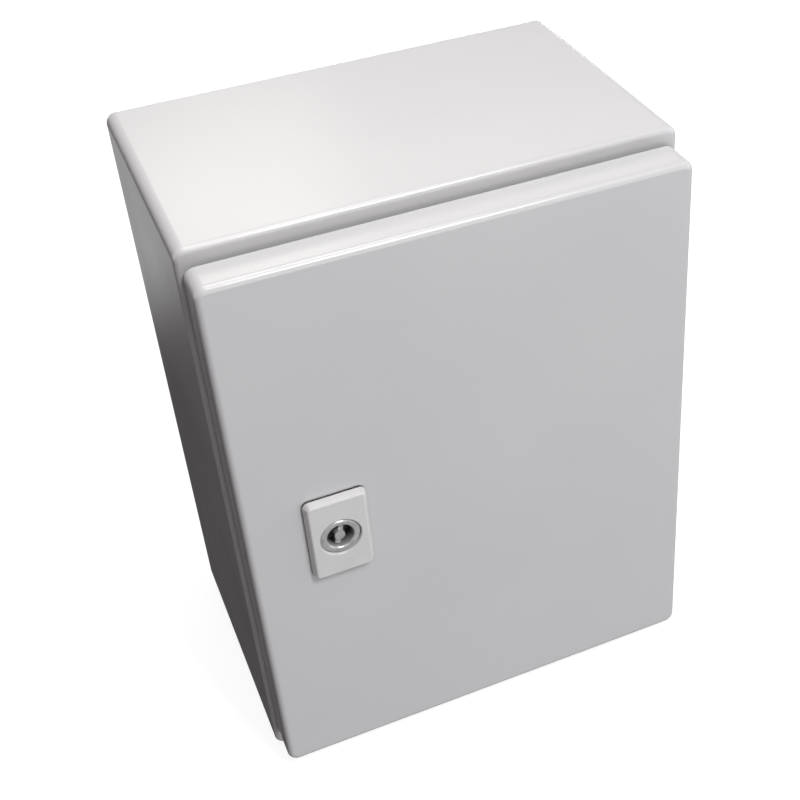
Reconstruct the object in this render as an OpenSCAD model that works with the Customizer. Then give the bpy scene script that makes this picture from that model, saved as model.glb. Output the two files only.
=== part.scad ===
// Wall-mounted electrical enclosure: a folded sheet body, a hinged door with a quarter-turn
// lock, a mounting plate on studs and a gland plate over the cut-out in the floor.
// Sizes are in millimetres. X runs right, Y runs back to the wall and Z runs up. The origin is
// the middle of the rear face, which is also the middle of the wall fixing holes.

/* [Body] */
// Width of the body
body_w = 300; // [280:5:340]
// Height of the body
body_h = 400; // [380:5:460]
// Depth of the body, from the wall to the front flange
body_d = 184; // [180:1:220]
// Thickness of the body's sheet
sheet_t = 1.5; // [1.2:0.1:1.8]
// Outside radius where the sheet wraps round the four long edges
wrap_r = 7; // [6:0.5:9]
// Outside radius of the folds round the front and the rear
fold_r = 3.3; // [2.5:0.1:3.6]
// How far the rim round the opening stands forward of the front flange
rim_h = 14; // [13:0.5:15]
// Outside radius of the rim's corners
rim_corner_r = 12; // [10:0.5:14]
// Inside radius of the fold between the flange and the rim
rim_fold_r = 2; // [1:0.5:2.5]

/* [Wall fixing] */
// Diameter of the four holes in the rear wall
wall_hole_d = 9; // [7:0.5:10]
// Distance of each wall hole from the two nearest outer sides
wall_hole_inset = 35; // [33:1:37]

/* [Door] */
// Gap between the front flange and the back edge of the door
door_gap = 3; // [3:0.5:4]
// Depth of the door's folded edge
door_d = 23; // [22:0.5:25]
// Thickness of the door's sheet
door_t = 1.75; // [1.5:0.05:2]
// How far the door's upright edges lie inside the body's sides
door_inset_x = 3; // [2:0.5:4]
// How far the door's level edges lie inside the body's top and floor
door_inset_z = 10; // [8:0.5:12]
// Outside radius of the door's four corners
door_corner_r = 7; // [6:0.5:9]
// Outside radius of the fold round the door's front
door_fold_r = 4; // [3.5:0.25:4.5]
// Width of the foam seal that meets the rim
seal_w = 12; // [10:0.5:13]

/* [Hinges] */
// Distance of each hinge from the nearest level edge of the door
hinge_inset = 60; // [50:5:90]
// Distance of the hinge axis from the door's edge
hinge_edge = 7; // [7:0.25:7.5]
// Diameter of the hinge pins
pin_d = 5; // [4:0.5:5.5]
// Outside diameter of the hinge knuckles
knuckle_d = 9; // [8:0.25:9.5]
// Height of the body's knuckle
knuckle_h = 20; // [16:1:22]
// Height of each of the door's two knuckles
leaf_knuckle_h = 8; // [6:0.5:9]
// Height of the notch in the door's edge at a hinge
notch_h = 47; // [46:1:50]
// Width of the door's edge left in front of a notch
notch_land = 5; // [4.75:0.25:5.5]

/* [Lock] */
// Distance of the lock's axis from the door's edge
lock_inset = 56; // [54:1:60]
// Width of the lock plate
lock_plate_w = 39.5; // [39:0.5:42]
// Height of the lock plate
lock_plate_h = 60.5; // [56:0.5:66]
// How far the lock plate stands off its seal
lock_plate_t = 4.4; // [4:0.1:5]
// How far the lock plate's sides slope in
lock_slope = 2; // [1.5:0.1:2.4]
// Diameter of the round recess in the lock plate
recess_d = 26.2; // [25:0.1:27]
// Diameter of the threaded barrel
barrel_d = 25; // [24:0.25:26]
// Diameter of the turning insert's stem
stem_d = 21; // [19:0.25:21.5]
// Diameter of the key well in the insert
well_d = 17; // [15:0.25:17.5]
// Turn of the double bit from upright
bit_turn = 15; // [0:1:30]
// How far the locked cam reaches behind the flange
cam_overlap = 13; // [8:1:16]

/* [Mounting plate] */
// Thickness of the mounting plate
plate_t = 2.5; // [2:0.1:3]
// Height of the plate's stand-off collars
collar_h = 12; // [8:0.5:15]
// Size of the plate's cut corners, which leave the wall holes free
plate_cut = 28; // [26:1:30]

/* [Gland plate] */
// Width of the cut-out in the floor
gland_w = 196; // [160:2:200]
// Depth of the cut-out in the floor
gland_d = 96; // [80:2:100]
// Width of the border that the gland plate seals on
gland_border = 18; // [17:0.5:20]
// Gap between the gland plate and the back of the front flange
gland_margin = 10.75; // [8:0.25:12]
// Thickness of the gland plate
gland_t = 2; // [1.5:0.1:2.5]
// Thickness of the gland plate's gasket
gland_seal_t = 3; // [2:0.1:4]

/* [Clearances] */
// Gap between the rim and the path of the door's edge
rim_play = 1.1; // [1:0.1:1.5]
// Radial play of the pins and of the turning insert
turn_play = 0.05; // [0.03:0.01:0.08]
// Gap between parts that slide past each other
slide_gap = 0.3; // [0.2:0.05:0.4]
// Radial play of screws and studs in their holes
hole_play = 0.25; // [0.2:0.05:0.4]
// Gap between the mounting plate and the opening it goes in by
plate_play = 3; // [2:0.5:5]
// Gap between the locked cam and the back of the flange
cam_play = 1; // [0.8:0.1:1.5]

/* [Hidden] */
$fn = 64;
over = 1; // how far a cutting shape runs past what it cuts
hex_step = 0.3; // how far a hexagon's turned face lies inside its flats

// Distances from the wall
flange_back = body_d - sheet_t;
door_back = body_d + door_gap;
door_front = door_back + door_d;
door_inner = door_front - door_t;
hinge_front = door_back + door_d / 2;
rim_front = body_d + rim_h;
seal_back = rim_front + slide_gap;

// Door and rim, where the rim clears the circle that the door's hinged edge swings through
door_w = body_w - 2 * door_inset_x;
door_h = body_h - 2 * door_inset_z;
hinge_x = door_w / 2 - hinge_edge;
hinge_z = door_h / 2 - hinge_inset;
swing_r = norm([hinge_edge, door_d / 2]);
rim_inset = body_w / 2 - (hinge_x - swing_r - rim_play);
rim_w = body_w - 2 * rim_inset;
rim_height = body_h - 2 * rim_inset;
rim_land = 1;
opening_w = rim_w - 2 * sheet_t;
opening_h = rim_height - 2 * sheet_t;

// Wall holes, mounting plate and its studs
wall_x = body_w / 2 - wall_hole_inset;
wall_z = body_h / 2 - wall_hole_inset;
plate_w = opening_w - 2 * plate_play;
plate_h = opening_h - 2 * plate_play;
plate_back = sheet_t + collar_h;
plate_front = plate_back + plate_t;
plate_stud_d = 8;
plate_thread = 13; // length of thread in front of the plate
plate_stud_end = plate_front + plate_thread;
collar_d = 15;
plate_stud_inset_x = 12;
plate_stud_inset_z = 46;
plate_stud_x = plate_w / 2 - plate_stud_inset_x;
plate_stud_z = plate_h / 2 - plate_stud_inset_z;

// Gland plate over the cut-out in the floor
floor_z = -body_h / 2 + sheet_t;
gland_front = flange_back - gland_margin - gland_border - gland_d / 2;
gland_corner_r = 6;
gland_stud_d = 5;
gland_stud_x = (gland_w + gland_border) / 2;
gland_stud_y = (gland_d + gland_border) / 2;
gland_thread = 10; // length of thread above the plate
gland_stud_h = gland_seal_t + gland_t + gland_thread;

// Earth studs of the body and of the door
earth_d = 6;
earth_length = 20;
earth_x = gland_stud_x / 2;
earth_z = (-body_h / 2 + sheet_t - plate_h / 2) / 2;
door_earth_x = 80;
door_earth_rise = 30;
door_earth_z = -rim_height / 2 + door_earth_rise;

// Hinge parts, measured from the hinge axis
knuckle_r = knuckle_d / 2;
pin_bore_d = pin_d + 2 * turn_play;
bracket_t = door_gap;
bracket_end_gap = 1.5;
bracket_h = notch_h - 2 * bracket_end_gap;
bracket_back = hinge_front - body_d;
bracket_x = -9;
bracket_w = 11;
hinge_corner_r = 2;
arm_step = 0.3; // how far the arm and the leaf lie inside and outside the knuckle's side
arm_x = -knuckle_r + arm_step;
arm_t = 3.2;
hinge_screw_d = 4;
hinge_screw_x = -3;
hinge_screw_z = 16.5;
leaf_t = 2.5;
leaf_x = -knuckle_r - arm_step;
leaf_w = hinge_edge - door_fold_r - leaf_x;
leaf_lap = 7.5; // how far the leaf runs past the notch at each end
leaf_h = notch_h + 2 * leaf_lap;
leaf_y = hinge_front - door_inner;
leaf_web_w = 5;
leaf_knuckle_z = knuckle_h / 2 + slide_gap;
leaf_top = leaf_knuckle_z + leaf_knuckle_h;
leaf_stud_d = 4;
leaf_stud_x = leaf_x + leaf_w / 2;
leaf_stud_inset = 5;
leaf_stud_z = leaf_h / 2 - leaf_stud_inset;
leaf_stud_length = 9;
pin_head_step = 0.5;
pin_head_d = knuckle_d - 2 * pin_head_step;
pin_head_h = 1.5;

// Lock parts, as distances from the wall
lock_x = -(door_w / 2 - lock_inset);
lock_seal_t = 1.6;
lock_seal_edge = 0.1; // how far the seal lies inside the plate's outline
lock_base = door_front + lock_seal_t;
lock_face = lock_base + lock_plate_t;
lock_corner_r = 4;
lock_edge_r = 1.6;
recess_depth = 3.2;
recess_floor = lock_face - recess_depth;
recess_bevel = 0.5;
head_d = recess_d - 2 * slide_gap;
head_sink = 0.7;
head_face = lock_face - head_sink;
head_bevel = 1.4;
well_bevel = 0.6;
well_depth = 10;
well_floor = head_face - well_depth;
bit_sink = 1.2;
bit_face = head_face - bit_sink;
bit_pin_d = 6.4;
bit_w = 3.2;
bit_end_gap = 1.5;
bit_length = well_d - 2 * bit_end_gap;
lock_nut_h = 5;
lock_nut_af = 32;
cam_t = 3;
cam_back = flange_back - cam_play - cam_t;
cam_crank = 8.5;
cam_hub_back = cam_back + cam_crank;
stem_back = cam_hub_back + cam_t;
barrel_back = stem_back + slide_gap;
cam_square = 8;
cam_hub_r = 12;
cam_arm_w = 18;
cam_tip_cut = 4;
cam_rim = rim_w / 2 - sheet_t + lock_x;
cam_reach = cam_rim + cam_overlap;
cam_bend_gap = 5;
cam_bend_w = 8;
cam_bend_end = cam_rim - cam_bend_gap;
cam_bend_start = cam_bend_end - cam_bend_w;
cam_screw_d = 6;
cam_screw_length = 11;
cam_thread_depth = 9;

// Stands a shape up against the wall: its x stays, its y runs up and its z runs forward
module from_wall() {
    rotate([90, 0, 0]) children();
}

// Puts a shape at the lock's axis, with its z forward from the wall
module at_lock() {
    from_wall() translate([lock_x, 0, 0]) children();
}

// Puts a shape at a hinge axis, with its y back to the wall
module at_hinge(z) {
    translate([hinge_x, -hinge_front, z]) children();
}

// Puts a shape on the floor, over the middle of the gland cut-out
module on_floor() {
    translate([0, -gland_front, floor_z]) children();
}

// Repeats a shape at the four corners of a rectangle
module at_corners(x, y) {
    for (side = [-1, 1], level = [-1, 1]) translate([side * x, level * y, 0]) children();
}

// Repeats a shape at the gland plate's six studs
module at_gland_studs() {
    for (side = [-1, 0, 1], row = [-1, 1])
        translate([side * gland_stud_x, row * gland_stud_y, 0]) children();
}

// Repeats a shape at the two screws of a hinge
module at_hinge_screws() {
    for (end = [-1, 1]) translate([hinge_screw_x, bracket_back, end * hinge_screw_z]) children();
}

// Repeats a shape at the two studs of a hinge leaf, with its z back into the enclosure
module at_leaf_studs() {
    for (end = [-1, 1])
        translate([leaf_stud_x, leaf_y, end * leaf_stud_z]) rotate([-90, 0, 0]) children();
}

// A quarter of a disc
module quarter(r) {
    intersection() {
        circle(r);
        square(r);
    }
}

// Runs a section round a rectangle with round corners. The section's x is the distance out
// from a corner's centre, so the rectangle's side is at x = r.
module around(w, h, r) {
    for (turn = [0:3]) {
        across = turn % 2 == 0 ? w : h;
        along = turn % 2 == 0 ? h : w;
        rotate([0, 0, 90 * turn]) translate([across / 2 - r, along / 2 - r, 0]) {
            rotate([90, 0, 0]) linear_extrude(along - 2 * r) children();
            rotate_extrude(angle = 90) children();
        }
    }
}

// The edge of a block from a corner's centre out to its side, with its front and back rounded
module block_edge(r, d, front_r, back_r) {
    translate([0, back_r]) square([r, d - front_r - back_r]);
    if (front_r > 0) {
        translate([0, d - front_r]) square([r - front_r, front_r]);
        translate([r - front_r, d - front_r]) quarter(front_r);
    }
    if (back_r > 0) {
        square([r - back_r, back_r]);
        translate([r - back_r, back_r]) mirror([0, 1]) quarter(back_r);
    }
}

// A block with round corners and, where given, rounded front and back edges
module block(w, h, d, r, front_r = 0, back_r = 0) {
    around(w, h, r) block_edge(r, d, front_r, back_r);
    translate([0, 0, d / 2]) cube([w - 2 * r, h - 2 * r, d], center = true);
}

// A hexagonal nut or screw head with its corners turned off, standing on z = 0
module hexagon(af, h) {
    corner_r = af / 2 / cos(30);
    face_r = af / 2 - hex_step;
    turned = (corner_r + over - face_r) * tan(30);
    intersection() {
        cylinder(d = 2 * corner_r, h = h, $fn = 6);
        rotate_extrude() polygon([
            [0, 0], [face_r, 0], [corner_r + over, turned],
            [corner_r + over, h - turned], [face_r, h], [0, h]
        ]);
    }
}

// A nut that stands on z = 0, sized from its thread
module nut(thread_d) {
    difference() {
        hexagon(af = round(1.65 * thread_d), h = 0.8 * thread_d);
        translate([0, 0, -over]) cylinder(r = thread_d / 2 + turn_play, h = thread_d + 2 * over);
    }
}

// A washer that stands on z = 0, sized from its thread
function washer_t(thread_d) = 0.2 * thread_d;
module washer(thread_d) {
    difference() {
        cylinder(r = thread_d, h = washer_t(thread_d));
        translate([0, 0, -over])
            cylinder(r = thread_d / 2 + hole_play, h = washer_t(thread_d) + 2 * over);
    }
}

// A stud that stands on z = 0, with a bevelled end
module stud(thread_d, length) {
    bevel = 0.12 * thread_d;
    cylinder(d = thread_d, h = length - bevel);
    translate([0, 0, length - bevel])
        cylinder(d1 = thread_d, d2 = thread_d - 2 * bevel, h = bevel);
}

// Rim round the opening: a strip of the flange, the fold and the upright
module rim_section() {
    fold_x = rim_corner_r + rim_fold_r;
    translate([rim_corner_r - sheet_t, body_d + rim_fold_r])
        square([sheet_t, rim_h - rim_fold_r]);
    translate([fold_x, body_d + rim_fold_r]) rotate(180) difference() {
        quarter(rim_fold_r + sheet_t);
        circle(rim_fold_r);
    }
    translate([fold_x, flange_back]) square([rim_land, sheet_t]);
}

module body_shell() {
    land = rim_fold_r + rim_land;
    difference() {
        block(body_w, body_h, body_d, wrap_r, fold_r, fold_r);
        translate([0, 0, sheet_t]) block(
            body_w - 2 * sheet_t, body_h - 2 * sheet_t, body_d - 2 * sheet_t,
            wrap_r - sheet_t, fold_r - sheet_t, fold_r - sheet_t
        );
        translate([0, 0, flange_back - over])
            block(rim_w + 2 * land, rim_height + 2 * land, sheet_t + 2 * over, rim_corner_r + land);
    }
    around(rim_w, rim_height, rim_corner_r) rim_section();
}

module enclosure_body() {
    color("gainsboro") difference() {
        from_wall() body_shell();
        from_wall() at_corners(wall_x, wall_z) translate([0, 0, -over])
            cylinder(d = wall_hole_d, h = sheet_t + 2 * over);
        on_floor() translate([0, 0, -sheet_t - over])
            block(gland_w, gland_d, sheet_t + 2 * over, gland_corner_r);
        for (z = [-hinge_z, hinge_z]) at_hinge(z) at_hinge_screws() translate([0, -over, 0])
            rotate([-90, 0, 0]) cylinder(r = hinge_screw_d / 2 + hole_play, h = sheet_t + 2 * over);
    }
}

module plate_outline() {
    x = plate_w / 2;
    z = plate_h / 2;
    polygon([
        [-x, -z + plate_cut], [-x + plate_cut, -z], [x - plate_cut, -z], [x, -z + plate_cut],
        [x, z - plate_cut], [x - plate_cut, z], [-x + plate_cut, z], [-x, z - plate_cut]
    ]);
}

module mounting_plate() {
    color("silver") from_wall() translate([0, 0, plate_back]) difference() {
        linear_extrude(plate_t) plate_outline();
        at_corners(plate_stud_x, plate_stud_z) translate([0, 0, -over])
            cylinder(r = plate_stud_d / 2 + hole_play, h = plate_t + 2 * over);
    }
}

module plate_studs() {
    color("silver") from_wall() at_corners(plate_stud_x, plate_stud_z)
        translate([0, 0, sheet_t]) {
            cylinder(d = collar_d, h = collar_h);
            stud(plate_stud_d, plate_stud_end - sheet_t);
        }
}

module plate_washers() {
    color("silver") from_wall() at_corners(plate_stud_x, plate_stud_z)
        translate([0, 0, plate_front]) washer(plate_stud_d);
}

module plate_nuts() {
    color("silver") from_wall() at_corners(plate_stud_x, plate_stud_z)
        translate([0, 0, plate_front + washer_t(plate_stud_d)]) nut(plate_stud_d);
}

module gland_gasket() {
    color("dimgray") on_floor() difference() {
        block(
            gland_w + 2 * gland_border, gland_d + 2 * gland_border, gland_seal_t,
            gland_corner_r
        );
        translate([0, 0, -over])
            block(gland_w, gland_d, gland_seal_t + 2 * over, gland_corner_r);
        at_gland_studs() translate([0, 0, -over])
            cylinder(r = gland_stud_d / 2 + hole_play, h = gland_seal_t + 2 * over);
    }
}

module gland_plate() {
    color("gainsboro") on_floor() translate([0, 0, gland_seal_t]) difference() {
        block(gland_w + 2 * gland_border, gland_d + 2 * gland_border, gland_t, gland_corner_r);
        at_gland_studs() translate([0, 0, -over])
            cylinder(r = gland_stud_d / 2 + hole_play, h = gland_t + 2 * over);
    }
}

module gland_studs() {
    color("silver") on_floor() at_gland_studs() stud(gland_stud_d, gland_stud_h);
}

module gland_washers() {
    color("silver") on_floor() at_gland_studs()
        translate([0, 0, gland_seal_t + gland_t]) washer(gland_stud_d);
}

module gland_nuts() {
    color("silver") on_floor() at_gland_studs()
        translate([0, 0, gland_seal_t + gland_t + washer_t(gland_stud_d)]) nut(gland_stud_d);
}

module earth_stud() {
    color("silver") from_wall() translate([earth_x, earth_z, sheet_t]) stud(earth_d, earth_length);
}

module earth_washer() {
    color("silver") from_wall() translate([earth_x, earth_z, sheet_t]) washer(earth_d);
}

module earth_nut() {
    color("silver") from_wall() translate([earth_x, earth_z, sheet_t + washer_t(earth_d)])
        nut(earth_d);
}

// The half of a hinge that is screwed to the front flange
module hinge_bracket(z) {
    color("silver") at_hinge(z) difference() {
        union() {
            translate([bracket_x + bracket_w / 2, bracket_back, 0]) from_wall()
                block(bracket_w, bracket_h, bracket_t, hinge_corner_r);
            translate([arm_x, 0, -knuckle_h / 2]) cube([arm_t, bracket_back, knuckle_h]);
            cylinder(d = knuckle_d, h = knuckle_h, center = true);
        }
        cylinder(d = pin_bore_d, h = knuckle_h + 2 * over, center = true);
        at_hinge_screws() translate([0, over, 0]) rotate([90, 0, 0])
            cylinder(r = hinge_screw_d / 2 + turn_play, h = bracket_t + 2 * over);
    }
}

module upper_hinge_bracket() { hinge_bracket(hinge_z); }
module lower_hinge_bracket() { hinge_bracket(-hinge_z); }

module hinge_screws() {
    head_h = 0.55 * hinge_screw_d;
    color("silver") for (z = [-hinge_z, hinge_z]) at_hinge(z) at_hinge_screws()
        translate([0, sheet_t, 0]) rotate([90, 0, 0]) {
            cylinder(d = hinge_screw_d, h = sheet_t + bracket_t);
            translate([0, 0, -head_h]) difference() {
                cylinder(d1 = 1.6 * hinge_screw_d, d2 = 2 * hinge_screw_d, h = head_h);
                translate([0, 0, -over])
                    cylinder(d = 0.7 * hinge_screw_d, h = over + head_h / 2, $fn = 6);
            }
        }
}

module hinge_pin(z) {
    color("silver") at_hinge(z) {
        translate([0, 0, -leaf_top - slide_gap])
            cylinder(d = pin_d, h = 2 * (leaf_top + slide_gap));
        translate([0, 0, leaf_top + slide_gap]) {
            cylinder(d = pin_head_d, h = pin_head_h / 2);
            translate([0, 0, pin_head_h / 2])
                cylinder(d1 = pin_head_d, d2 = pin_head_d - pin_head_h, h = pin_head_h / 2);
        }
    }
}

module upper_hinge_pin() { hinge_pin(hinge_z); }
module lower_hinge_pin() { hinge_pin(-hinge_z); }

module door_panel() {
    inner_r = door_corner_r - door_t;
    notch_d = door_d - notch_land;
    color("gainsboro") difference() {
        from_wall() translate([0, 0, door_back]) difference() {
            block(door_w, door_h, door_d, door_corner_r, door_fold_r);
            translate([0, 0, -over]) block(
                door_w - 2 * door_t, door_h - 2 * door_t, door_d - door_t + over,
                inner_r, door_fold_r - door_t
            );
        }
        for (z = [-hinge_z, hinge_z])
            translate([door_w / 2 - door_fold_r, -door_back - notch_d, z - notch_h / 2])
                cube([door_fold_r + over, notch_d + over, notch_h]);
        at_lock() translate([0, 0, door_inner - over])
            cylinder(r = barrel_d / 2 + hole_play, h = door_t + 2 * over);
    }
}

// The foam seal's section, flat on the door and rounded towards the rim
module seal_section() {
    crown_r = seal_w / 3;
    inner = rim_corner_r - sheet_t / 2 - seal_w / 2;
    translate([inner, seal_back + crown_r]) square([seal_w, door_inner - seal_back - crown_r]);
    translate([inner + crown_r, seal_back]) square([seal_w - 2 * crown_r, crown_r]);
    translate([inner + seal_w - crown_r, seal_back + crown_r]) mirror([0, 1]) quarter(crown_r);
    translate([inner + crown_r, seal_back + crown_r]) rotate(180) quarter(crown_r);
}

module door_seal() {
    color("dimgray") from_wall() around(rim_w, rim_height, rim_corner_r) seal_section();
}

// The half of a hinge that is bolted inside the door
module hinge_leaf(z) {
    color("silver") at_hinge(z) difference() {
        union() {
            translate([leaf_stud_x, leaf_y + leaf_t, 0]) from_wall()
                block(leaf_w, leaf_h, leaf_t, hinge_corner_r);
            for (end = [-1, 1]) translate([0, 0, end * (leaf_knuckle_z + leaf_knuckle_h / 2)]) {
                cylinder(d = knuckle_d, h = leaf_knuckle_h, center = true);
                translate([leaf_stud_x, leaf_y / 2, 0])
                    cube([leaf_web_w, -leaf_y, leaf_knuckle_h], center = true);
            }
        }
        cylinder(d = pin_bore_d, h = 2 * leaf_top + 2 * over, center = true);
        at_leaf_studs() translate([0, 0, -over])
            cylinder(r = leaf_stud_d / 2 + hole_play, h = leaf_t + 2 * over);
    }
}

module upper_hinge_leaf() { hinge_leaf(hinge_z); }
module lower_hinge_leaf() { hinge_leaf(-hinge_z); }

module leaf_studs() {
    color("silver") for (z = [-hinge_z, hinge_z]) at_hinge(z) at_leaf_studs()
        stud(leaf_stud_d, leaf_stud_length);
}

module leaf_nuts() {
    color("silver") for (z = [-hinge_z, hinge_z]) at_hinge(z) at_leaf_studs()
        translate([0, 0, leaf_t]) nut(leaf_stud_d);
}

// Puts a shape at the door's earth stud, with its z back into the enclosure
module at_door_earth() {
    from_wall() translate([door_earth_x, door_earth_z, door_inner]) mirror([0, 0, 1]) children();
}

module door_earth_stud() { color("silver") at_door_earth() stud(earth_d, earth_length); }
module door_earth_washer() { color("silver") at_door_earth() washer(earth_d); }
module door_earth_nut() {
    color("silver") at_door_earth() translate([0, 0, washer_t(earth_d)]) nut(earth_d);
}

// The lock plate's sloping edge, rounded where it meets the face
module lock_plate_edge() {
    slope = atan(lock_slope / lock_plate_t);
    round_z = lock_plate_t - lock_edge_r;
    round_x = lock_corner_r - round_z * tan(slope) - lock_edge_r / cos(slope);
    polygon([
        [0, 0], [lock_corner_r, 0],
        [round_x + lock_edge_r * cos(slope), round_z + lock_edge_r * sin(slope)],
        [round_x, round_z], [round_x, lock_plate_t], [0, lock_plate_t]
    ]);
    translate([round_x, round_z]) intersection() {
        circle(lock_edge_r);
        polygon([
            [0, 0], lock_edge_r * [cos(slope), sin(slope)],
            2 * lock_edge_r * [cos(slope), 1], [0, 2 * lock_edge_r]
        ]);
    }
}

module lock_housing() {
    color("lightgray") at_lock() difference() {
        union() {
            translate([0, 0, lock_base]) {
                around(lock_plate_w, lock_plate_h, lock_corner_r) lock_plate_edge();
                translate([0, 0, lock_plate_t / 2]) cube(
                    [lock_plate_w - 2 * lock_corner_r, lock_plate_h - 2 * lock_corner_r, lock_plate_t],
                    center = true
                );
            }
            translate([0, 0, barrel_back]) cylinder(d = barrel_d, h = lock_base - barrel_back + over);
        }
        translate([0, 0, barrel_back - over])
            cylinder(r = stem_d / 2 + turn_play, h = lock_face - barrel_back);
        translate([0, 0, recess_floor]) cylinder(d = recess_d, h = lock_face - recess_floor + over);
        translate([0, 0, lock_face - recess_bevel])
            cylinder(d1 = recess_d, d2 = recess_d + 4 * recess_bevel, h = 2 * recess_bevel);
    }
}

module lock_seal() {
    edge = lock_seal_edge;
    color("dimgray") at_lock() translate([0, 0, door_front]) difference() {
        block(lock_plate_w - 2 * edge, lock_plate_h - 2 * edge, lock_seal_t, lock_corner_r - edge);
        translate([0, 0, -over])
            cylinder(r = barrel_d / 2 + hole_play, h = lock_seal_t + 2 * over);
    }
}

module lock_nut() {
    color("silver") at_lock() translate([0, 0, door_inner - lock_nut_h]) difference() {
        hexagon(lock_nut_af, lock_nut_h);
        translate([0, 0, -over])
            cylinder(r = barrel_d / 2 + turn_play, h = lock_nut_h + 2 * over);
    }
}

// The turning insert: a bevelled head, the key well with its double bit, the stem and a square
module lock_insert() {
    head_r = head_d / 2;
    head_back = recess_floor + slide_gap;
    color("silver") at_lock() {
        difference() {
            rotate_extrude() polygon([
                [0, stem_back], [stem_d / 2, stem_back], [stem_d / 2, head_back],
                [head_r, head_back], [head_r, head_face - head_bevel],
                [head_r - head_bevel, head_face], [0, head_face]
            ]);
            translate([0, 0, well_floor]) cylinder(d = well_d, h = head_face - well_floor + over);
            translate([0, 0, head_face - well_bevel])
                cylinder(d1 = well_d, d2 = well_d + 4 * well_bevel, h = 2 * well_bevel);
            translate([0, 0, stem_back - over]) cam_screw_hole();
        }
        translate([0, 0, well_floor]) rotate(-bit_turn) {
            cylinder(d = bit_pin_d, h = bit_face - well_floor);
            translate([0, 0, (bit_face - well_floor - bit_w / 2) / 2])
                cube([bit_w, bit_length, bit_face - well_floor - bit_w / 2], center = true);
        }
        difference() {
            translate([0, 0, cam_hub_back + cam_t / 2 + slide_gap / 2])
                cube([cam_square, cam_square, cam_t - slide_gap], center = true);
            translate([0, 0, cam_hub_back - over]) cam_screw_hole();
        }
    }
}

module cam_screw_hole() {
    cylinder(r = cam_screw_d / 2 + turn_play, h = cam_thread_depth + over);
}

// The cam's side view: the hub, the bend and the tip that goes behind the flange
module cam_side() {
    polygon([
        [-cam_hub_r - over, stem_back], [cam_bend_start, stem_back],
        [cam_bend_end, cam_back + cam_t], [cam_reach, cam_back + cam_t],
        [cam_reach, cam_back], [cam_bend_end, cam_back],
        [cam_bend_start, cam_hub_back], [-cam_hub_r - over, cam_hub_back]
    ]);
}

// The cam's front view, pointing down
module cam_front() {
    half = cam_arm_w / 2;
    circle(cam_hub_r);
    polygon([
        [-half, 0], [-half, -cam_reach + cam_tip_cut], [-half + cam_tip_cut, -cam_reach],
        [half - cam_tip_cut, -cam_reach], [half, -cam_reach + cam_tip_cut], [half, 0]
    ]);
}

module lock_cam() {
    color("silver") at_lock() difference() {
        intersection() {
            rotate([90, 0, -90]) linear_extrude(4 * cam_hub_r, center = true) cam_side();
            translate([0, 0, cam_back - over]) linear_extrude(stem_back - cam_back + 2 * over)
                cam_front();
        }
        translate([0, 0, cam_hub_back + cam_t / 2])
            cube([cam_square + 2 * turn_play, cam_square + 2 * turn_play, cam_t + 2 * over], center = true);
    }
}

module cam_washer() {
    color("silver") at_lock() translate([0, 0, cam_hub_back]) mirror([0, 0, 1])
        washer(cam_screw_d);
}

module cam_screw() {
    head_h = 0.65 * cam_screw_d;
    color("silver") at_lock() {
        translate([0, 0, cam_hub_back - washer_t(cam_screw_d)]) {
            translate([0, 0, -head_h]) hexagon(round(1.65 * cam_screw_d), head_h);
            cylinder(d = cam_screw_d, h = cam_screw_length);
        }
    }
}

enclosure_body();
mounting_plate();
plate_studs();
plate_washers();
plate_nuts();
gland_gasket();
gland_plate();
gland_studs();
gland_washers();
gland_nuts();
earth_stud();
earth_washer();
earth_nut();
upper_hinge_bracket();
lower_hinge_bracket();
hinge_screws();
upper_hinge_pin();
lower_hinge_pin();
door_panel();
door_seal();
upper_hinge_leaf();
lower_hinge_leaf();
leaf_studs();
leaf_nuts();
door_earth_stud();
door_earth_washer();
door_earth_nut();
lock_housing();
lock_seal();
lock_nut();
lock_insert();
lock_cam();
cam_washer();
cam_screw();
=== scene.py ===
import itertools
import math
import bmesh
import bpy
from mathutils import Matrix, Quaternion, Vector, noise


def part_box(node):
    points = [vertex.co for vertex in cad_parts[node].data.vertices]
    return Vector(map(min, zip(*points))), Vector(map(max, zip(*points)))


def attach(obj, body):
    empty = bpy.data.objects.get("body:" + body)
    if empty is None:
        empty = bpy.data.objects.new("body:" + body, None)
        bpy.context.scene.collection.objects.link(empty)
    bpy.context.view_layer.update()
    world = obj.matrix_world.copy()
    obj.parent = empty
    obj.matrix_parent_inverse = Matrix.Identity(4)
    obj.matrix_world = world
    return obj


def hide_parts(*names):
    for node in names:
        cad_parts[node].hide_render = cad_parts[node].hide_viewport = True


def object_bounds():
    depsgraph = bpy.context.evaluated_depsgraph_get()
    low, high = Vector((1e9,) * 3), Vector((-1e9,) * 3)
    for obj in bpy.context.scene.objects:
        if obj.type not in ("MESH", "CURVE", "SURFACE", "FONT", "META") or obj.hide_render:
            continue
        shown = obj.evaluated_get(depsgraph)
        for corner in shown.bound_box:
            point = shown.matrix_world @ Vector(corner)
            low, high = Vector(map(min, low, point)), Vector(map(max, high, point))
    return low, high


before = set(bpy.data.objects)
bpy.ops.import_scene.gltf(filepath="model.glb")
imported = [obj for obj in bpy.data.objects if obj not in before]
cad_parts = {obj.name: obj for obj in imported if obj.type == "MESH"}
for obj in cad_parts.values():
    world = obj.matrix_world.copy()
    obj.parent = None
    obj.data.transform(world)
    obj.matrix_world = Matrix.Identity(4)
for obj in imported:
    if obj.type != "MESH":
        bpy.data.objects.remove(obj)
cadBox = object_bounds()
mm = 0.001
weldGap = 0.005 * mm  # points closer than this become one
noiseMean = 0.5
noiseSpan = (0.3, 0.7)  # where most of a noise pattern's values lie
print("frame loaded:", len(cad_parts), "nodes")


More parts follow.
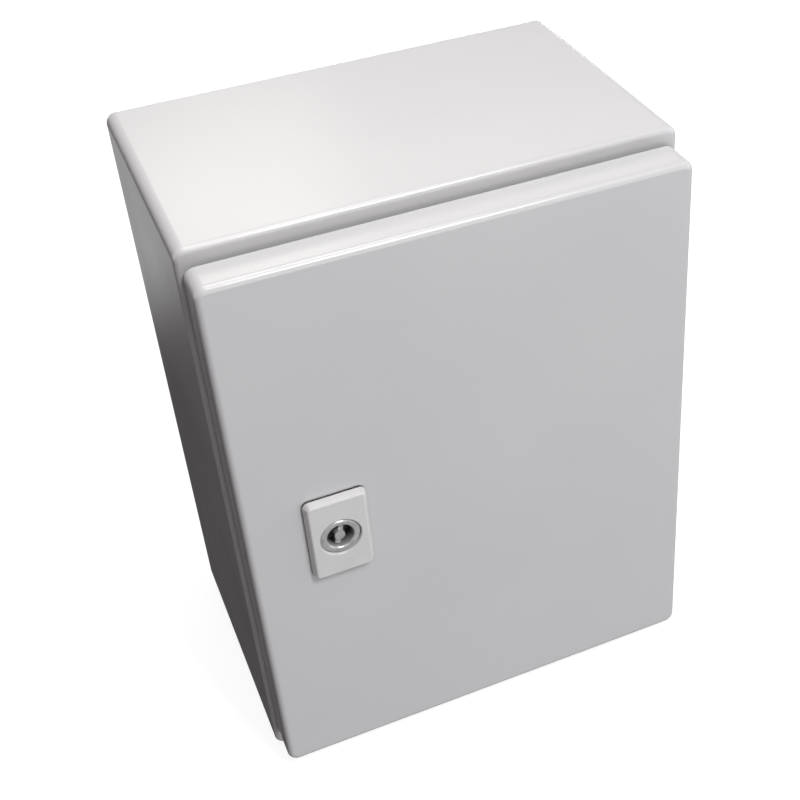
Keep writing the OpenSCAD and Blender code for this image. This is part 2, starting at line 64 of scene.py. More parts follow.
# A socket that can be used in plain maths, and the one way to add any other node
class Wire:
    def __init__(self, tree, socket=None):
        self.tree = tree
        self.socket = socket

    def node(self, kind, settings, sockets, out=0):
        made = self.tree.nodes.new("ShaderNode" + kind)
        for name, value in settings.items():
            if name == "stops":
                setStops(made.color_ramp, value)
            else:
                setattr(made, name, value)
        for name, value in sockets.items():
            if isinstance(value, Wire):
                self.tree.links.new(value.socket, made.inputs[name])
            else:
                made.inputs[name].default_value = value
        return Wire(self.tree, made.outputs[out])

    def other(self, out):
        return Wire(self.tree, self.socket.node.outputs[out])

    def maths(self, operation, first, second=0.0):
        return self.node("Math", {"operation": operation}, {0: first, 1: second})

    def __add__(self, value):
        return self.maths("ADD", self, value)

    def __radd__(self, value):
        return self.maths("ADD", value, self)

    def __sub__(self, value):
        return self.maths("SUBTRACT", self, value)

    def __rsub__(self, value):
        return self.maths("SUBTRACT", value, self)

    def __mul__(self, value):
        return self.maths("MULTIPLY", self, value)

    def __rmul__(self, value):
        return self.maths("MULTIPLY", value, self)

    def __gt__(self, value):
        return self.maths("GREATER_THAN", self, value)

    def __lt__(self, value):
        return self.maths("LESS_THAN", self, value)


def setStops(ramp, stops):
    while len(ramp.elements) < len(stops):
        ramp.elements.new(1.0)
    for element, (place, colour) in zip(ramp.elements, stops):
        element.position = place
        element.color = (*colour, 1.0)


# Fine patterns, all on the piece's own coordinates in metres
def grain(coords, size, detail=2.0, roughness=0.5):
    sockets = {"Vector": coords, "Scale": 1.0 / size, "Detail": detail, "Roughness": roughness}
    return coords.node("TexNoise", {}, sockets)


def cells(coords, size):
    return coords.node("TexVoronoi", {}, {"Vector": coords, "Scale": 1.0 / size})


def between(value, low, high, least, most):
    sockets = {"Value": value, "From Min": low, "From Max": high, "To Min": least, "To Max": most}
    return value.node("MapRange", {"clamp": True}, sockets)


def tint(value, dark, light):
    return value.node("ValToRGB", {"stops": [(0.0, dark), (1.0, light)]}, {"Fac": value})


# Two patterns added in given shares
def blend(shares, first, second):
    return first * shares[0] + second * shares[1]


# The Mix node's colour sockets are known by number only
def blendColours(factor, first, second):
    sockets = {0: factor, 6: first, 7: second}
    return factor.node("Mix", {"data_type": "RGBA"}, sockets, 2)


def relief(height, depth, strength=1.0):
    sockets = {"Strength": strength, "Distance": depth, "Height": height}
    return height.node("Bump", {}, sockets, "Normal")


def newFinish(name):
    material = bpy.data.materials.new(name)
    material.use_nodes = True
    coords = Wire(material.node_tree).node("TexCoord", {}, {}, "Object")
    return material, coords


def setShader(material, sockets):
    tree = material.node_tree
    shader = tree.nodes["Principled BSDF"]
    for name, value in sockets.items():
        if isinstance(value, Wire):
            tree.links.new(value.socket, shader.inputs[name])
        else:
            shader.inputs[name].default_value = value
    return material


# Light grey powder coat: faint clouding, orange peel and a few specks of dust
coatLook = {
    "dark": (0.525, 0.527, 0.535),
    "light": (0.565, 0.566, 0.57),
    "cloudSize": 0.11,
    "peelSize": 1.5 * mm,
    "peelDepth": 0.006 * mm,
    "peelGloss": 0.2,  # how much the peel shows in the gloss
    "fineSize": 0.9 * mm,
    "fineShade": 0.08,  # how much the fine grain shows in the colour and in the relief
    "fineRise": 0.15,
    "speckGap": 16 * mm,
    "speckSize": 0.035,
    "speckShare": 0.9,
    "speckColour": (0.75, 0.75, 0.73, 1.0),
    "gloss": (0.2, 0.25),
}


def powderCoat():
    look = coatLook
    material, coords = newFinish("powderCoat")
    cloud = grain(coords, look["cloudSize"], detail=3.0)
    peel = grain(coords, look["peelSize"], detail=1.0)
    fine = grain(coords, look["fineSize"])
    dust = cells(coords, look["speckGap"])
    lot = dust.node("SeparateColor", {}, {"Color": dust.other("Color")})
    speck = (dust < look["speckSize"]) * (lot > look["speckShare"])
    paint = tint(cloud + look["fineShade"] * (fine - noiseMean), look["dark"], look["light"])
    polish = cloud + look["peelGloss"] * (peel - noiseMean)
    return setShader(material, {
        "Base Color": blendColours(speck, paint, look["speckColour"]),
        "Roughness": between(polish, *noiseSpan, *look["gloss"]),
        "IOR": 1.5,
        "Normal": relief(peel + look["fineRise"] * fine, look["peelDepth"]),
    })


# Zinc spangle on the mounting plate
spangleLook = {
    "flakeSize": 9 * mm,
    "dark": (0.43, 0.445, 0.46),
    "light": (0.56, 0.575, 0.59),
    "gloss": (0.42, 0.54),
    "wave": 5 * mm,
    "bend": 2.5 * mm,  # how far the flakes' edges wander
    "streakSize": 0.625 * mm,
    "streakGloss": 0.3,
    "shadeShares": (0.8, 0.2),  # flake and streak in the colour, and then in the relief
    "riseShares": (0.4, 0.6),
    "depth": 0.008 * mm,
}


def galvanisedSheet():
    look = spangleLook
    material, coords = newFinish("galvanisedSheet")
    warp = grain(coords, look["wave"]).other("Color")
    shift = coords.node("VectorMath", {"operation": "SCALE"}, {0: warp, "Scale": look["bend"]})
    bent = coords.node("VectorMath", {"operation": "ADD"}, {0: coords, 1: shift})
    flake = cells(bent, look["flakeSize"])
    shade = flake.node("SeparateColor", {}, {"Color": flake.other("Color")})
    streak = grain(coords, look["streakSize"], detail=3.0)
    polish = shade.other("Green") + look["streakGloss"] * (streak - noiseMean)
    return setShader(material, {
        "Base Color": tint(blend(look["shadeShares"], shade, streak), look["dark"], look["light"]),
        "Metallic": 1.0,
        "Roughness": between(polish, 0.0, 1.0, *look["gloss"]),
        "Normal": relief(blend(look["riseShares"], shade.other("Blue"), streak), look["depth"]),
    })


# Bright zinc plating on studs, nuts, washers and screws
platingLook = {
    "dark": (0.56, 0.58, 0.6),
    "light": (0.78, 0.79, 0.8),
    "patchSize": 4 * mm,
    "pitSize": 0.5 * mm,
    "glossShares": (0.6, 0.4),  # patch and pit
    "depth": 0.01 * mm,
    "gloss": (0.18, 0.36),
}


def zincPlating():
    look = platingLook
    material, coords = newFinish("zincPlating")
    patch = grain(coords, look["patchSize"], detail=4.0, roughness=0.6)
    pit = grain(coords, look["pitSize"])
    return setShader(material, {
        "Base Color": tint(between(patch, *noiseSpan, 0.0, 1.0), look["dark"], look["light"]),
        "Metallic": 1.0,
        "Roughness": between(blend(look["glossShares"], patch, pit), *noiseSpan, *look["gloss"]),
        "Normal": relief(pit, look["depth"]),
    })


# Satin die-cast metal of the hinges, with a fine sandy skin
hingeLook = {
    "dark": (0.4, 0.41, 0.42),
    "light": (0.55, 0.56, 0.57),
    "patchSize": 7 * mm,
    "sandSize": 0.45 * mm,
    "sandShade": 0.3,  # how much the sand shows in the colour
    "depth": 0.03 * mm,
    "gloss": (0.34, 0.5),
    "metal": 1.0,
}


def satinCasting(name, look):
    material, coords = newFinish(name)
    patch = grain(coords, look["patchSize"], detail=3.0)
    sand = grain(coords, look["sandSize"], roughness=0.6)
    shade = between(patch + look["sandShade"] * (sand - noiseMean), *noiseSpan, 0.0, 1.0)
    skin = tint(shade, look["dark"], look["light"])
    # painted shade: the colour darkens deeper into the key well
    if "wellShade" in look:
        depth = coords.node("SeparateXYZ", {}, {"Vector": coords}, "Y")
        level = depth + look["wellShadeWave"] * (patch - noiseMean)
        paintedShade = between(level, *look["wellShadeDepth"], 0.0, 1.0)
        skin = blendColours(paintedShade, skin, look["wellShade"])
    return setShader(material, {
        "Base Color": skin,
        "Metallic": look["metal"],
        "Roughness": between(sand, *noiseSpan, *look["gloss"]),
        "Normal": relief(sand, look["depth"]),
    })


# The turning insert is brighter and smoother than the hinges
insertLook = {
    "dark": (0.5, 0.5, 0.51),
    "light": (0.66, 0.66, 0.66),
    "patchSize": 3 * mm,
    "sandSize": 0.3 * mm,
    "sandShade": 0.3,
    "depth": 0.012 * mm,
    "gloss": (0.3, 0.42),
    "metal": 0.45,
    "wellShade": (0.1, 0.1, 0.1, 1.0),  # painted shade, darker deeper into the key well
    "wellShadeDepth": (-213.4 * mm, -207.5 * mm),
    "wellShadeWave": 1.5 * mm,
}

# Ground steel of the hinge pins, with rings from turning
pinLook = {
    "dark": (0.5, 0.5, 0.5),
    "light": (0.68, 0.68, 0.68),
    "ringSize": 0.6 * mm,
    "stretch": (0.02, 0.02, 1.0),
    "depth": 0.008 * mm,
    "gloss": (0.14, 0.28),
}


def groundSteel():
    look = pinLook
    material, coords = newFinish("groundSteel")
    flat = coords.node("VectorMath", {"operation": "MULTIPLY"}, {0: coords, 1: look["stretch"]})
    ring = grain(flat, look["ringSize"], detail=3.0)
    return setShader(material, {
        "Base Color": tint(between(ring, *noiseSpan, 0.0, 1.0), look["dark"], look["light"]),
        "Metallic": 1.0,
        "Roughness": between(ring, *noiseSpan, *look["gloss"]),
        "Normal": relief(ring, look["depth"]),
    })


# Dark polyurethane foam with open pores
foamLook = {
    "dark": (0.018, 0.018, 0.019),
    "light": (0.06, 0.06, 0.062),
    "poreSize": 0.7 * mm,
    "poreReach": 0.6,
    "lumpSize": 6 * mm,
    "shadeShares": (0.6, 0.4),  # pore and lump in the colour, and then in the relief
    "riseShares": (0.7, 0.3),
    "depth": 0.25 * mm,
    "strength": 0.7,
    "gloss": (0.62, 0.85),
}


def foamSkin():
    look = foamLook
    material, coords = newFinish("foamSkin")
    pore = cells(coords, look["poreSize"])
    lump = grain(coords, look["lumpSize"], detail=3.0)
    skin = between(pore, 0.0, look["poreReach"], 0.0, 1.0)
    return setShader(material, {
        "Base Color": tint(blend(look["shadeShares"], skin, lump), look["dark"], look["light"]),
        "Roughness": between(lump, *noiseSpan, *look["gloss"]),
        "Normal": relief(blend(look["riseShares"], skin, lump), look["depth"], look["strength"]),
    })


# Grey paint of the die-cast lock plate
plateLook = {
    "dark": (0.56, 0.56, 0.562),
    "light": (0.63, 0.63, 0.625),
    "patchSize": 12 * mm,
    "sandSize": 0.5 * mm,
    "sandShade": 0.3,
    "depth": 0.012 * mm,
    "gloss": (0.26, 0.36),
}


def lockPaint():
    look = plateLook
    material, coords = newFinish("lockPaint")
    patch = grain(coords, look["patchSize"], detail=3.0)
    sand = grain(coords, look["sandSize"])
    shade = patch + look["sandShade"] * (sand - noiseMean)
    return setShader(material, {
        "Base Color": tint(shade, look["dark"], look["light"]),
        "Roughness": between(sand, *noiseSpan, *look["gloss"]),
        "IOR": 1.5,
        "Normal": relief(sand, look["depth"]),
    })


# Moulded black rubber of the gaskets
rubberLook = {
    "dark": (0.012, 0.012, 0.013),
    "light": (0.035, 0.035, 0.037),
    "patchSize": 5 * mm,
    "sandSize": 0.4 * mm,
    "shadeShares": (0.7, 0.3),  # patch and sand
    "depth": 0.03 * mm,
    "gloss": (0.5, 0.72),
}


def blackRubber():
    look = rubberLook
    material, coords = newFinish("blackRubber")
    patch = grain(coords, look["patchSize"], detail=3.0)
    sand = grain(coords, look["sandSize"])
    return setShader(material, {
        "Base Color": tint(blend(look["shadeShares"], patch, sand), look["dark"], look["light"]),
        "Roughness": between(patch, *noiseSpan, *look["gloss"]),
        "Normal": relief(sand, look["depth"]),
    })


finishes = {
    "powder_coat": powderCoat(),
    "galvanised_sheet": galvanisedSheet(),
    "zinc_steel": zincPlating(),
    "hinge_metal": satinCasting("hingeCasting", hingeLook),
    "pin_steel": groundSteel(),
    "foam_seal": foamSkin(),
    "lock_plate_grey": lockPaint(),
    "black_rubber": blackRubber(),
    "cast_zinc": satinCasting("insertCasting", insertLook),
}
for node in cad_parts.values():
    for place in node.material_slots:
        place.material = finishes[place.material.name]
print("finishes set:", len(finishes))


# A finished piece takes its slot's finish, rides on a body and may stand for a CAD node
def addPiece(name, shape, body, slotName, node=None, crease=35.0):
    bmesh.ops.remove_doubles(shape, verts=shape.verts, dist=weldGap)
    bmesh.ops.recalc_face_normals(shape, faces=shape.faces)
    mesh = bpy.data.meshes.new(name)
    shape.to_mesh(mesh)
    shape.free()
    mesh.materials.append(finishes[slotName])
    mesh.shade_smooth()
    mesh.set_sharp_from_angle(angle=math.radians(crease))
    piece = bpy.data.objects.new(name, mesh)
    bpy.context.scene.collection.objects.link(piece)
    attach(piece, body)
    if node:
        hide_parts(node)
    print("piece made:", name, len(mesh.polygons), "faces")
    return piece


def allOf(shape):
    return shape.verts[:] + shape.edges[:] + shape.faces[:]


def openEdges(shape):
    return [edge for edge in shape.edges if edge.is_boundary]


def edgesOf(geometry):
    return [part for part in geometry if isinstance(part, bmesh.types.BMEdge)]


def vertsOf(geometry):
    return [part for part in geometry if isinstance(part, bmesh.types.BMVert)]


def roundOff(shape, parts, size, cuts, kind):
    bmesh.ops.bevel(shape, geom=parts, offset=size, segments=cuts, profile=0.5, affect=kind, material=-1)


# Cuts a shape level across, and may drop what lies past the cut
def cutAcross(shape, level, way=1.0, drop=False):
    cut = bmesh.ops.bisect_plane(shape, geom=allOf(shape), plane_co=(0.0, 0.0, level),
                                 plane_no=(0.0, 0.0, way), clear_outer=drop)
    return cut["geom_cut"]


# Copies a small shape into a larger one
def putIn(shape, small, matrix):
    mesh = bpy.data.meshes.new("copy")
    small.to_mesh(mesh)
    mesh.transform(matrix)
    shape.from_mesh(mesh)
    bpy.data.meshes.remove(mesh)


# Shapes are drawn with z forward from the wall, then stood up
standUp = Matrix.Rotation(math.radians(90.0), 4, "X")
headings = {
    "forward": standUp,
    "back": Matrix.Rotation(math.radians(-90.0), 4, "X"),
    "up": Matrix.Identity(4),
}

# One pitch of thread as (along, rise) from root to crest, and its depth as a share of the pitch
threadSet = {
    "outline": ((0.0, 0.0), (0.25, 0.0), (0.5625, 1.0), (0.6875, 1.0), (1.0, 0.0)),
    "depth": 0.6134,
    "sides": 24,
    "bevel": 0.12,  # of the stud's size
}


# A winding thread from low to high along z, open at both ends
def windThread(size, pitch, low, high):
    rod = bmesh.new()
    depth = threadSet["depth"] * pitch
    turns = math.ceil((high - low) / pitch) + 2
    verts = []
    for along, rise in threadSet["outline"]:
        reach = size / 2 - depth * (1.0 - rise)
        verts.append(rod.verts.new((reach, 0.0, low + (along - 1.0) * pitch)))
    edges = [rod.edges.new(pair) for pair in zip(verts, verts[1:])]
    climb = (0.0, 0.0, pitch / threadSet["sides"])
    bmesh.ops.spin(rod, geom=verts + edges, cent=(0.0, 0.0, 0.0), axis=(0.0, 0.0, 1.0), dvec=climb,
                   angle=turns * math.tau, steps=turns * threadSet["sides"])
    bmesh.ops.remove_doubles(rod, verts=rod.verts, dist=weldGap)
    cutAcross(rod, low, -1.0, drop=True)
    cutAcross(rod, high, 1.0, drop=True)
    return rod


# A threaded stud that stands on z = 0, with its end turned to a bevel
def threadedStud(size, pitch, length):
    stud = windThread(size, pitch, 0.0, length)
    bevel = threadSet["bevel"] * size
    cutAcross(stud, length - bevel)
    for vert in stud.verts:
        reach = math.hypot(vert.co.x, vert.co.y)
        most = size / 2 - max(0.0, vert.co.z - length + bevel)
        if reach > most:
            vert.co.x *= most / reach
            vert.co.y *= most / reach
    bmesh.ops.edgeloop_fill(stud, edges=openEdges(stud))
    return stud


# A row of places inside a box's side
def evenly(low, high, inset, count):
    if count == 1:
        return [(low + high) / 2]
    return [low + inset + (high - low - 2 * inset) * step / (count - 1) for step in range(count)]


# Each set of studs: thread, how many across, deep and up, and which way they point
studSets = {
    "plate_studs": {
        "size": 8 * mm, "pitch": 1.25 * mm, "count": (2, 1, 2), "heading": "forward", "body": "cabinet",
    },
    "gland_studs": {
        "size": 5 * mm, "pitch": 0.8 * mm, "count": (3, 2, 1), "heading": "up", "body": "cabinet",
    },
    "earth_stud": {
        "size": 6 * mm, "pitch": 1.0 * mm, "count": (1, 1, 1), "heading": "forward", "body": "cabinet",
    },
    "door_earth_stud": {
        "size": 6 * mm, "pitch": 1.0 * mm, "count": (1, 1, 1), "heading": "back", "body": "door",
    },
}
collarSet = {"size": 15 * mm, "height": 12 * mm, "sides": 48, "bevel": 0.6 * mm, "cuts": 2}
leafStudSet = {"size": 4 * mm, "pitch": 0.7 * mm, "inset": 5 * mm}


# The stand-off collar on a plate stud
def addCollar(stud):
    look = collarSet
    middle = look["height"] / 2
    collar = bmesh.new()
    bmesh.ops.create_cone(collar, cap_ends=True, segments=look["sides"], radius1=look["size"] / 2,
                          radius2=look["size"] / 2, depth=look["height"],
                          matrix=Matrix.Translation((0.0, 0.0, middle)))
    rim = [edge for edge in collar.edges if all(vert.co.z > middle for vert in edge.verts)]
    roundOff(collar, rim, look["bevel"], look["cuts"], "EDGES")
    putIn(stud, collar, Matrix.Identity(4))
    collar.free()


def addStuds(node, look):
    low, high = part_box(node)
    long = "xyz".index("z" if look["heading"] == "up" else "y")
    stud = threadedStud(look["size"], look["pitch"], high[long] - low[long])
    inset = look["size"] / 2
    if node == "plate_studs":
        addCollar(stud)
        inset = collarSet["size"] / 2
    rows = [evenly(low[way], high[way], inset, look["count"][way]) for way in range(3)]
    rows[long] = [high.y if look["heading"] == "forward" else low[long]]
    shape = bmesh.new()
    for place in itertools.product(*rows):
        putIn(shape, stud, Matrix.Translation(place) @ headings[look["heading"]])
    stud.free()
    addPiece("threaded_" + node, shape, look["body"], "zinc_steel", node)


def addLeafStuds():
    low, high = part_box("leaf_studs")
    stud = threadedStud(leafStudSet["size"], leafStudSet["pitch"], high.y - low.y)
    shape = bmesh.new()
    for leaf in ("upper_hinge_leaf", "lower_hinge_leaf"):
        foot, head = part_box(leaf)
        for level in (foot.z + leafStudSet["inset"], head.z - leafStudSet["inset"]):
            place = Matrix.Translation(((low.x + high.x) / 2, low.y, level))
            putIn(shape, stud, place @ headings["back"])
    stud.free()
    addPiece("threaded_leaf_studs", shape, "door", "zinc_steel", "leaf_studs")


# Thread on the lock's barrel, from the nut back to its end
barrelSet = {"size": 25.5 * mm, "pitch": 1.5 * mm, "inner": 12.2 * mm, "end": 0.5 * mm, "nutGap": 0.1 * mm}


def addBarrelThread():
    look = barrelSet
    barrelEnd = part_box("lock_housing")[1].y
    nutLow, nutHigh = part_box("lock_nut")
    thread = windThread(look["size"], look["pitch"], look["end"] - barrelEnd, -nutHigh.y - look["nutGap"])
    grown = bmesh.ops.extrude_edge_only(thread, edges=openEdges(thread))["geom"]
    for vert in vertsOf(grown):
        share = look["inner"] / math.hypot(vert.co.x, vert.co.y)
        vert.co.x *= share
        vert.co.y *= share
    bmesh.ops.bridge_loops(thread, edges=openEdges(thread))
    place = Matrix.Translation(((nutLow.x + nutHigh.x) / 2, 0.0, 0.0))
    bmesh.ops.transform(thread, matrix=place @ standUp, verts=thread.verts)
    addPiece("barrel_thread", thread, "door", "lock_plate_grey")


# Foam bead: section, how finely it is cut, and how uneven its poured skin is
foamSet = {
    "width": 12 * mm,
    "inner": 5.25 * mm,  # from a corner's centre to the bead
    "crown": 4.0 * mm,
    "crownCuts": 7,
    "cornerCuts": 8,
    "step": 4 * mm,
    "weld": 0.01 * mm,
    "lump": 22 * mm,
    "fineLumps": 5,  # finer lumps on each lump, and how much they show
    "fineShare": 0.12,
    "sink": 0.45 * mm,
    "joint": 0.3 * mm,  # how much the bead swells where it was poured shut
    "jointLength": 9 * mm,
}


def addFoamBead():
    look = foamSet
    low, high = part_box("door_seal")
    front, crown = -low.y, -high.y
    outer = look["inner"] + look["width"]
    across, up = high.x - outer, high.z - outer
    shape = bmesh.new()
    corners = [(outer, front), (look["inner"], front), (look["inner"], crown), (outer, crown)]
    shape.faces.new([shape.verts.new((across + reach, up, level)) for reach, level in corners])
    crownVerts = [vert for vert in shape.verts if vert.co.z < (front + crown) / 2]
    roundOff(shape, crownVerts, look["crown"], look["crownCuts"], "VERTICES")
    bmesh.ops.delete(shape, geom=shape.faces[:], context="FACES_ONLY")
    edges = shape.edges[:]
    turns = [((across, up), (-1.0, 0.0), 2 * across), ((-across, up), (0.0, -1.0), 2 * up),
             ((-across, -up), (1.0, 0.0), 2 * across), ((across, -up), (0.0, 1.0), 2 * up)]
    for centre, way, length in turns:
        ends = list({vert for edge in edges for vert in edge.verts})
        made = bmesh.ops.spin(shape, geom=ends + edges, cent=(*centre, 0.0), axis=(0.0, 0.0, 1.0),
                              angle=math.pi / 2, steps=look["cornerCuts"])
        edges = edgesOf(made["geom_last"])
        count = math.ceil(length / look["step"])
        for step in range(count):
            grown = bmesh.ops.extrude_edge_only(shape, edges=edges)["geom"]
            moved = set(vertsOf(grown))
            bmesh.ops.translate(shape, verts=list(moved), vec=Vector((*way, 0.0)) * (length / count))
            edges = [edge for edge in edgesOf(grown) if set(edge.verts) <= moved]
    bmesh.ops.remove_doubles(shape, verts=shape.verts, dist=look["weld"])
    bmesh.ops.recalc_face_normals(shape, faces=shape.faces)
    shape.normal_update()
    for vert in shape.verts:
        lift = (front - vert.co.z) / (front - crown)
        joint = math.exp(-((vert.co.x / look["jointLength"]) ** 2)) if vert.co.y < 0.0 else 0.0
        coarse = noise.noise(vert.co / look["lump"])
        fine = noise.noise(vert.co * look["fineLumps"] / look["lump"])
        uneven = 0.5 + 0.5 * coarse + look["fineShare"] * fine
        vert.co += vert.normal * lift * (look["joint"] * joint - look["sink"] * uneven * (1.0 - joint))
        vert.co.z = max(vert.co.z, crown)
    bmesh.ops.transform(shape, matrix=standUp, verts=shape.verts)
    piece = addPiece("foam_bead", shape, "door", "foam_seal", "door_seal", crease=60.0)


# A flat outline with round corners, as one face on z = 0
def roundedFace(shape, width, height, corner, cuts):
    grid = bmesh.ops.create_grid(shape, x_segments=1, y_segments=1, size=0.5)["verts"]
    bmesh.ops.scale(shape, vec=(width, height, 1.0), verts=grid)
    roundOff(shape, grid, corner, cuts, "VERTICES")


# Two flat outlines become a ring that is this thick
def thickRing(shape, thickness):
    bmesh.ops.delete(shape, geom=shape.faces[:], context="FACES_ONLY")
    ring = bmesh.ops.bridge_loops(shape, edges=shape.edges[:])["faces"]
    grown = bmesh.ops.extrude_face_region(shape, geom=ring, use_keep_orig=True)["geom"]
    bmesh.ops.translate(shape, verts=vertsOf(grown), vec=(0.0, 0.0, thickness))
    bmesh.ops.recalc_face_normals(shape, faces=shape.faces)


# Rubber gasket under the gland plate, pressed so that its edges swell
gasketSet = {
    "border": 18 * mm,
    "corner": 6 * mm,
    "cornerCuts": 6,
    "cuts": (0.25, 0.5, 0.75),  # levels at which the edge is shaped
    "swell": 0.5 * mm,
    "takenOff": 0.75,  # of the swell, so that the upper and lower cuts stay in place
}


def addGlandGasket():
    look = gasketSet
    low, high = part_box("gland_gasket")
    size = high - low
    shape = bmesh.new()
    for inset in (0.0, look["border"]):
        width, depth = size.x - 2 * inset, size.y - 2 * inset
        roundedFace(shape, width, depth, look["corner"], look["cornerCuts"])
    thickRing(shape, size.z)
    for share in look["cuts"]:
        cut = cutAcross(shape, size.z * share)
        shape.normal_update()
        bulge = 4 * share * (1.0 - share) - look["takenOff"]
        for vert in vertsOf(cut):
            vert.co += vert.normal * look["swell"] * bulge
    place = ((low.x + high.x) / 2, (low.y + high.y) / 2, low.z)
    bmesh.ops.translate(shape, verts=shape.verts, vec=place)
    addPiece("gland_gasket_rubber", shape, "cabinet", "black_rubber", "gland_gasket", crease=50.0)


# Thin moulded seal under the lock plate, with a soft outer edge
lockSealSet = {
    "corner": 3.9 * mm,
    "cornerCuts": 5,
    "hole": 25.5 * mm,
    "holeSides": 48,
    "edge": 0.25 * mm,
    "edgeCuts": 3,
    "edgeAngle": 1.0,  # sharper edges than this, in radians, are softened
    "rimFrom": 0.6,  # of the hole's size from its middle, where the outer edge starts
}


def addLockSeal():
    look = lockSealSet
    low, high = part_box("lock_seal")
    size = high - low
    shape = bmesh.new()
    roundedFace(shape, size.x, size.z, look["corner"], look["cornerCuts"])
    bmesh.ops.create_circle(shape, segments=look["holeSides"], radius=look["hole"] / 2)
    thickRing(shape, size.y)
    sharp = [edge for edge in shape.edges
             if not edge.is_boundary and edge.calc_face_angle(0.0) > look["edgeAngle"]]
    reach = look["hole"] * look["rimFrom"]
    rim = [edge for edge in sharp if all(math.hypot(vert.co.x, vert.co.y) > reach for vert in edge.verts)]
    roundOff(shape, rim, look["edge"], look["edgeCuts"], "EDGES")
    place = Matrix.Translation(((low.x + high.x) / 2, high.y, (low.z + high.z) / 2))
    bmesh.ops.transform(shape, matrix=place @ standUp, verts=shape.verts)
    addPiece("lock_seal_rubber", shape, "door", "black_rubber", "lock_seal", crease=50.0)


for studNode, studSet in studSets.items():
    addStuds(studNode, studSet)
addLeafStuds()
addBarrelThread()
addFoamBead()
addGlandGasket()
addLockSeal()
print("detail pieces made")


# Camera at the photograph's viewing angle, in the part's own frame
cameraSet = {
    "place": (-224.9 * mm, -815.1 * mm, 571.3 * mm),
    "target": (74.6 * mm, -67.5 * mm, -21.6 * mm),
    "lean": math.radians(3.17),
    "lens": 62.06,
    "sensor": 36.0,
    "shift": (-0.12, -0.05),
    "near": 0.01,
}


def setCamera():
    camera = bpy.data.cameras.new("camera")
    camera.lens = cameraSet["lens"]
    camera.sensor_width = cameraSet["sensor"]
    camera.shift_x, camera.shift_y = cameraSet["shift"]
    camera.clip_start = cameraSet["near"]
    place = Vector(cameraSet["place"])
    look = (Vector(cameraSet["target"]) - place).to_track_quat("-Z", "Y")
    holder = bpy.data.objects.new("camera", camera)
    holder.rotation_mode = "QUATERNION"
    holder.rotation_quaternion = look @ Quaternion((0.0, 0.0, 1.0), -cameraSet["lean"])
    holder.location = place
    bpy.context.scene.collection.objects.link(holder)
    bpy.context.scene.camera = holder


# Soft boxes: place, what they face, size in metres, power in watts, colour, and whether their light
# shows on dull and shiny surfaces alike ("all"), as plain light ("dull") or as a sheen ("shine")
softBoxes = {
    "topBox": ((-0.05, -0.06, 1.0), (-0.05, -0.08, 0.0), (0.5, 0.3), 3.7, (1.0, 1.0, 0.955), "all"),
    "backBox": ((0.12, 1.35, 1.25), (0.0, 0.0, 0.1), (0.5, 0.7), 1.6, (1.0, 1.0, 0.955), "all"),
    "stripBox": ((0.55, 1.35, 1.19), (0.0, -0.15, 0.2), (1.1, 0.32), 1.3, (1.0, 1.0, 0.955), "all"),
    "keyBox": ((0.55, -1.71, 2.05), (0.0, -0.21, 0.0), (0.6, 0.6), 40.0, (0.99, 0.985, 0.985), "all"),
    "lowBox": ((0.8, -2.4, -0.6), (0.0, -0.2, 0.0), (2.4, 0.5), 30.0, (0.975, 0.985, 1.0), "dull"),
    "rightBox": ((1.9, -0.5, 0.5), (0.0, -0.1, 0.0), (1.2, 1.2), 8.0, (0.99, 0.99, 1.0), "all"),
    "wallBox": ((0.75, 2.4, 0.0), (0.0, 0.0, 0.0), (1.6, 0.35), 26.0, (1.0, 1.0, 1.0), "all"),
    "leftCard": ((-2.4, -0.1, 0.25), (-0.15, -0.1, 0.15), (2.2, 1.0), 11.0, (1.0, 1.0, 1.0), "shine"),
    "slopeCard": ((0.07, -0.26, 1.0), (0.07, -0.25, 0.0), (0.4, 0.08), 1.1, (1.0, 1.0, 1.0), "shine"),
    "frontCard": ((1.0, -2.6, -0.2), (0.0, -0.2, 0.0), (4.0, 0.9), 22.0, (1.0, 1.0, 1.0), "shine"),
}


def addSoftBox(name, place, target, size, power, colour, shows):
    light = bpy.data.lights.new(name, "AREA")
    light.shape = "RECTANGLE"
    light.size, light.size_y = size
    light.energy = power
    light.color = colour
    holder = bpy.data.objects.new(name, light)
    holder.location = place
    holder.rotation_euler = (Vector(target) - Vector(place)).to_track_quat("-Z", "Y").to_euler()
    holder.visible_camera = False
    holder.visible_diffuse = shows != "shine"
    holder.visible_glossy = shows != "dull"
    bpy.context.scene.collection.objects.link(holder)


# Dim room light: a pale band low at the back, dark below, white only where the camera looks past the floor
roomLight = {
    "rise": (-1.0, -0.575, -0.55, -0.505, 0.0, 0.3),  # how high each step of the band looks, from -1 to 1
    "band": (0.0, 0.0, 0.06, 0.65, 0.47, 0.1),
    "bandFrom": (0.45, 0.8),  # how far to the back the band fades in
    "bandSide": (-0.26, -0.16),  # how far to the left it fades out
    "around": 0.34,
    "aroundFrom": (-0.3, 0.1),  # between which heights the light fades from below to around
    "cast": (1.0, 0.92, 0.95),  # colour of the light around
    "below": 0.02,
    "seen": (1.0, 1.0, 1.0, 1.0),
}


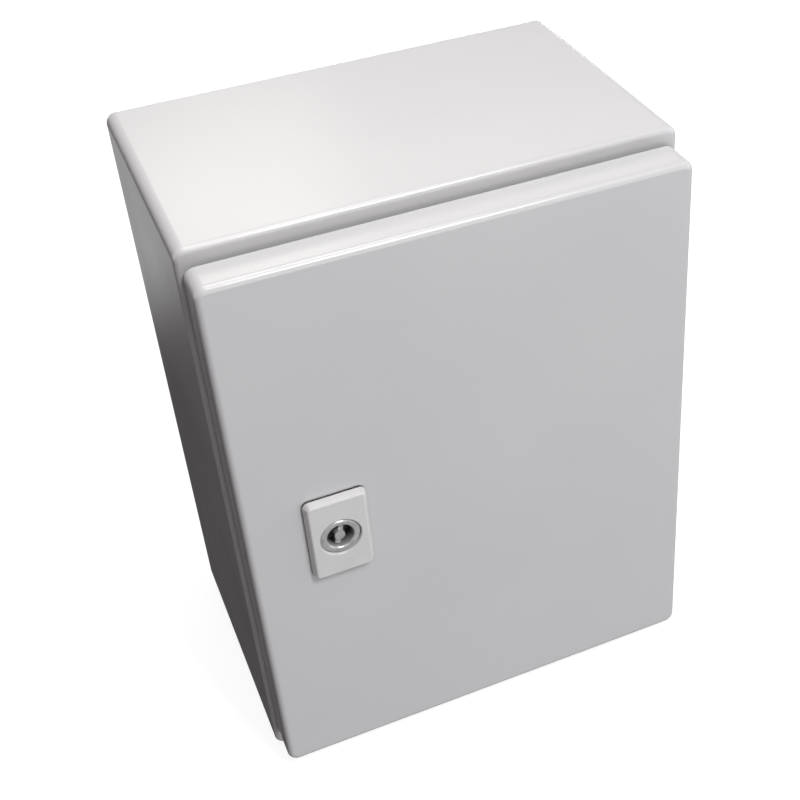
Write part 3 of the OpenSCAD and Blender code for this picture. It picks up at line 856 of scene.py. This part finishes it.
def setRoomLight():
    look = roomLight
    world = bpy.data.worlds.new("room")
    bpy.context.scene.world = world
    world.use_nodes = True
    tree = world.node_tree
    tree.nodes.remove(tree.nodes["Background"])
    start = Wire(tree)
    way = start.node("TexCoord", {}, {}, "Generated")
    rise = start.node("SeparateXYZ", {}, {"Vector": way}, "Z")
    stops = [(place * 0.5 + 0.5, (shade,) * 3) for place, shade in zip(look["rise"], look["band"])]
    band = start.node("ValToRGB", {"stops": stops}, {"Fac": rise * 0.5 + 0.5})
    around = between(rise, *look["aroundFrom"], look["below"], look["around"])
    warm = tint(around, (0.0, 0.0, 0.0), look["cast"])
    behind = between(rise.other("Y"), *look["bandFrom"], 0.0, 1.0)
    aside = between(rise.other("X"), *look["bandSide"], 0.0, 1.0)
    dim = start.node("Background", {}, {"Color": warm, "Strength": 1.0})
    pale = start.node("Background", {}, {"Color": behind * aside * band, "Strength": 1.0})
    room = start.node("AddShader", {}, {0: dim, 1: pale})
    seen = start.node("Background", {}, {"Color": look["seen"], "Strength": 1.0})
    byCamera = start.node("LightPath", {}, {}, "Is Camera Ray")
    mixed = start.node("MixShader", {}, {0: byCamera, 1: room, 2: seen})
    tree.links.new(mixed.socket, tree.nodes["World Output"].inputs["Surface"])


# Pale floor under the part
floorSet = {
    "size": 12.0,
    "dark": (0.29, 0.29, 0.29),
    "light": (0.31, 0.31, 0.31),
    "patch": 0.4,
    "reach": (0.5, 2.5),  # over this distance its own glow rises to white
    "glow": (0.86, 1.0),
}


def addFloor():
    shape = bmesh.new()
    bmesh.ops.create_grid(shape, x_segments=1, y_segments=1, size=floorSet["size"] / 2)
    bmesh.ops.translate(shape, verts=shape.verts, vec=(0.0, 0.0, cadBox[0].z))
    mesh = bpy.data.meshes.new("floor")
    shape.to_mesh(mesh)
    shape.free()
    material, coords = newFinish("paleFloor")
    patch = grain(coords, floorSet["patch"], detail=3.0)
    reach = coords.node("VectorMath", {"operation": "LENGTH"}, {0: coords}, "Value")
    mesh.materials.append(setShader(material, {
        "Base Color": tint(patch, floorSet["dark"], floorSet["light"]),
        "Roughness": 0.9,
        "Specular IOR Level": 0.1,
        "Emission Color": between(reach, *floorSet["reach"], *floorSet["glow"]),
        "Emission Strength": 1.0,
    }))
    floor = bpy.data.objects.new("floor", mesh)
    floor.visible_diffuse = False
    floor.visible_glossy = False
    floor.visible_shadow = False  # lets the low box shine up through it
    bpy.context.scene.collection.objects.link(floor)


setCamera()
for boxName, boxSet in softBoxes.items():
    addSoftBox(boxName, *boxSet)
setRoomLight()
addFloor()
bpy.context.scene.view_settings.view_transform = "Standard"
print("camera, light and floor set")
